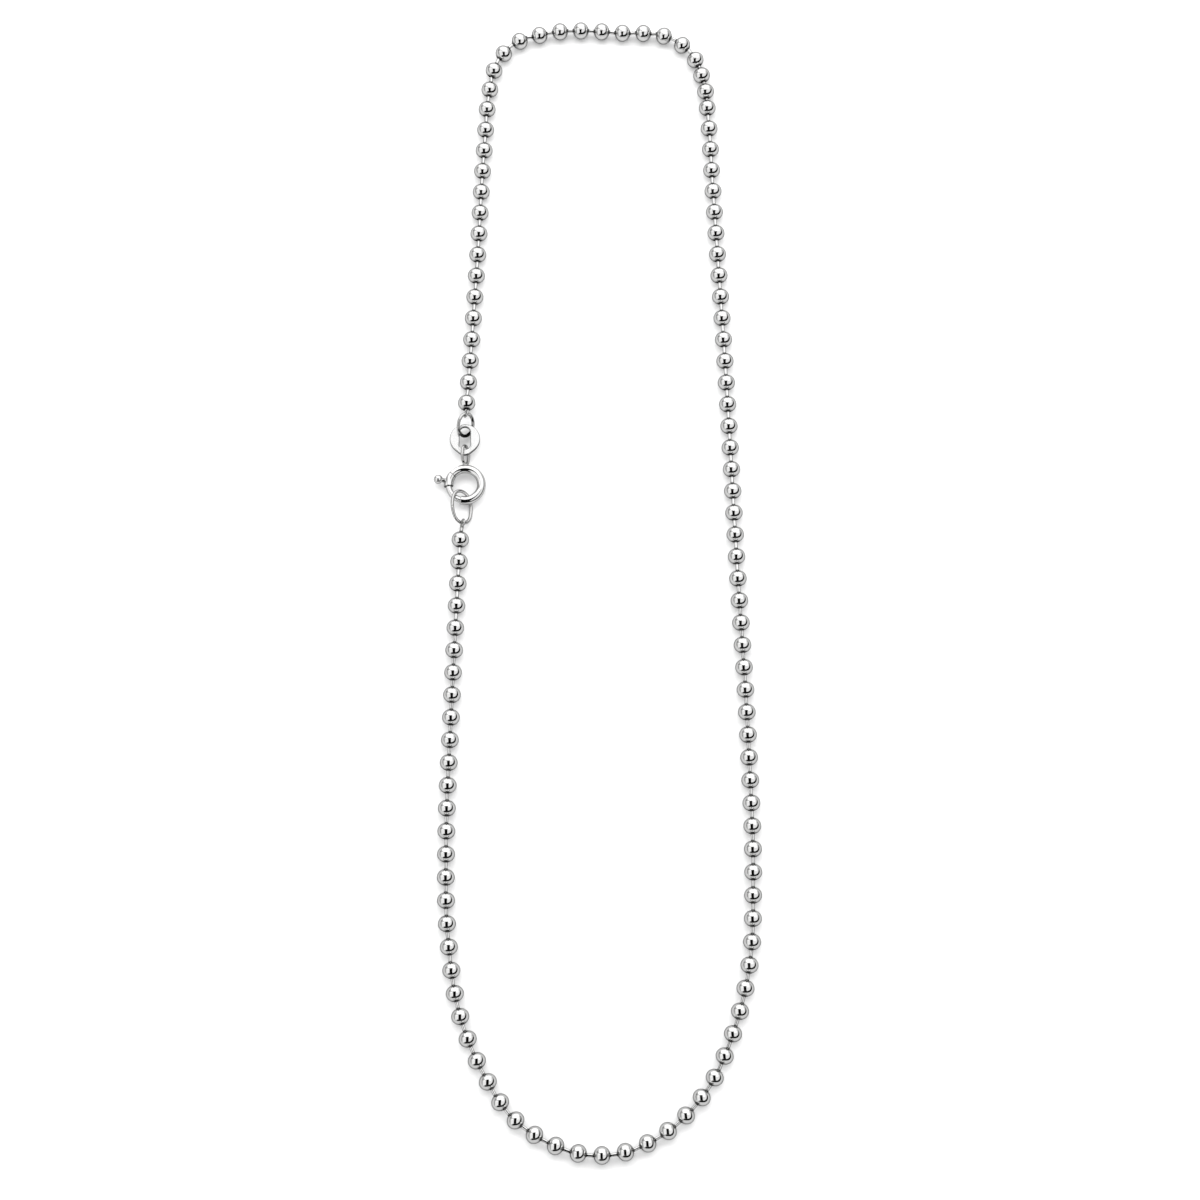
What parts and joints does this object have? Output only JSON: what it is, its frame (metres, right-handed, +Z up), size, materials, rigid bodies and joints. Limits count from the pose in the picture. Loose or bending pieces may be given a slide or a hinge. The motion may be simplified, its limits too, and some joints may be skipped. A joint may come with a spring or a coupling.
{
  "type": "ball chain necklace",
  "caption": "Closed ball chain necklace of polished hollow beads on short wire links, laid flat in a long loop, with a spring ring clasp, a slotted tag and two jump rings.",
  "frame": {"origin": "middle of the laid-out loop on the surface that it lies on, below the centre of its outer box", "axes": "+Z up from the surface, +Y along the loop's length towards its upper bend, clasp at -X"},
  "size_m": [0.0533, 0.1928, 0.0036],
  "materials": {
    "beads": "mirror-polished silver",
    "links": "mirror-polished silver",
    "end_eye_low": "mirror-polished silver",
    "end_eye_top": "mirror-polished silver",
    "jump_ring_low": "mirror-polished silver",
    "jump_ring_top": "mirror-polished silver",
    "spring_ring": "mirror-polished silver",
    "bolt": "mirror-polished silver",
    "tag": "mirror-polished silver"
  },
  "bodies": {
    "necklace": {"beads": "beads", "links": "links", "end_eye_low": "end_eye_low", "end_eye_top": "end_eye_top", "jump_ring_low": "jump_ring_low", "jump_ring_top": "jump_ring_top", "spring_ring": "spring_ring", "tag": "tag"},
    "bolt": {"bolt": "bolt"}
  },
  "joints": [
    {"name": "bolt_slide", "type": "hinge", "parent": "necklace", "child": "bolt", "pos_m": [-0.02164, 0.01406, 0.0015], "axis": [0, 0, 1], "range_deg": [-55, 0], "stiffness_Nm_per_rad": 0.001, "springref_deg": 17.19}
  ]
}
